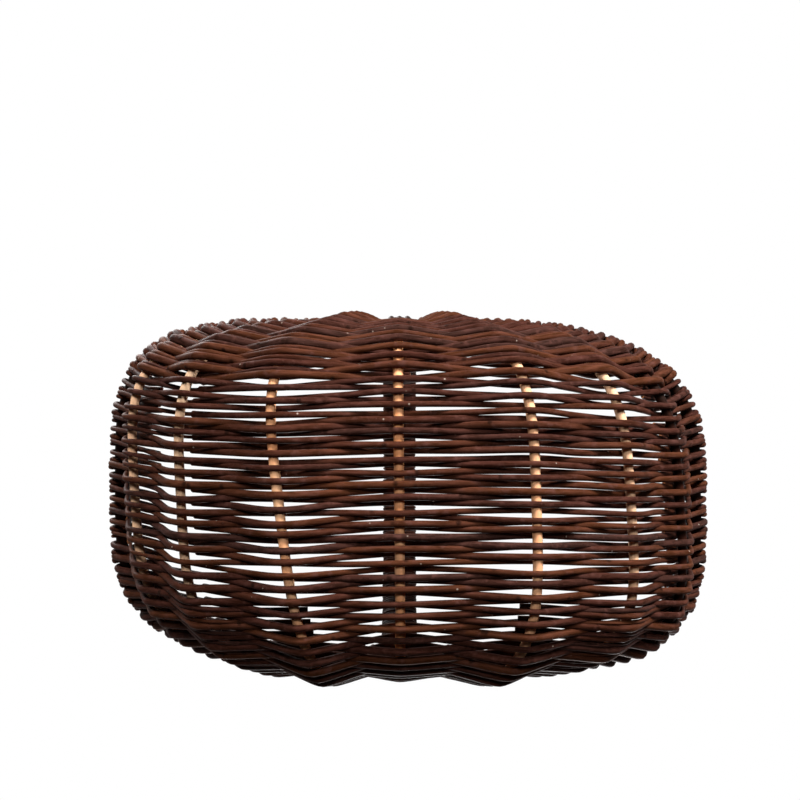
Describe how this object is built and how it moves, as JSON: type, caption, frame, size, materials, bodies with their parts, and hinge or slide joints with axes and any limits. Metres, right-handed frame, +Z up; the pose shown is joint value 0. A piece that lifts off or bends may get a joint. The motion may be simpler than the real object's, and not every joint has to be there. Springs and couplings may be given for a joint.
{
  "type": "wicker shopping basket",
  "caption": "Oval hoop-and-rib willow shopping basket: a deep bowl woven over bent ribs from rim to rim, with a fixed wrapped arch handle across its middle.",
  "frame": {"origin": "bottom centre of the standing basket", "axes": "+Z up through the mouth, X along the basket's length, Y across it in the plane of the handle"},
  "size_m": [0.4912, 0.3006, 0.3876],
  "materials": {
    "brown_willow": "satin bark",
    "peeled_willow": "smooth peeled wood",
    "dark_willow": "satin bark"
  },
  "bodies": {
    "root": {"rim_hoop": "dark_willow", "rib_right_3": "dark_willow", "handle_rod_front": "dark_willow", "handle_rod_middle": "dark_willow", "handle_rod_back": "dark_willow", "rib_keel": "peeled_willow", "rib_left_1": "peeled_willow", "rib_left_2": "peeled_willow", "rib_left_3": "peeled_willow", "rib_right_1": "peeled_willow", "rib_right_2": "peeled_willow", "weaving_rod_01": "brown_willow", "weaving_rod_02": "brown_willow", "weaving_rod_03": "brown_willow", "weaving_rod_04": "brown_willow", "weaving_rod_05": "brown_willow", "weaving_rod_06": "brown_willow", "weaving_rod_07": "brown_willow", "weaving_rod_08": "brown_willow", "weaving_rod_09": "brown_willow", "weaving_rod_10": "brown_willow", "weaving_rod_11": "brown_willow", "weaving_rod_12": "brown_willow", "weaving_rod_13": "brown_willow", "weaving_rod_14": "brown_willow", "weaving_rod_15": "brown_willow", "weaving_rod_16": "brown_willow", "weaving_rod_17": "brown_willow", "weaving_rod_18": "brown_willow", "weaving_rod_19": "brown_willow", "weaving_rod_20": "brown_willow", "weaving_rod_21": "brown_willow", "weaving_rod_22": "brown_willow", "weaving_rod_23": "brown_willow", "weaving_rod_24": "brown_willow", "weaving_rod_25": "brown_willow", "weaving_rod_26": "brown_willow", "weaving_rod_27": "brown_willow", "weaving_rod_28": "brown_willow", "weaving_rod_29": "brown_willow", "weaving_rod_30": "brown_willow", "weaving_rod_31": "brown_willow", "weaving_rod_32": "brown_willow", "weaving_rod_33": "brown_willow", "weaving_rod_34": "brown_willow", "weaving_rod_35": "brown_willow", "weaving_rod_36": "brown_willow", "weaving_rod_37": "brown_willow", "weaving_rod_38": "brown_willow", "weaving_rod_39": "brown_willow", "weaving_rod_40": "brown_willow", "weaving_rod_41": "brown_willow", "weaving_rod_42": "brown_willow", "handle_wrapping": "brown_willow", "ear_front": "brown_willow", "ear_back": "brown_willow"}
  },
  "joints": []
}
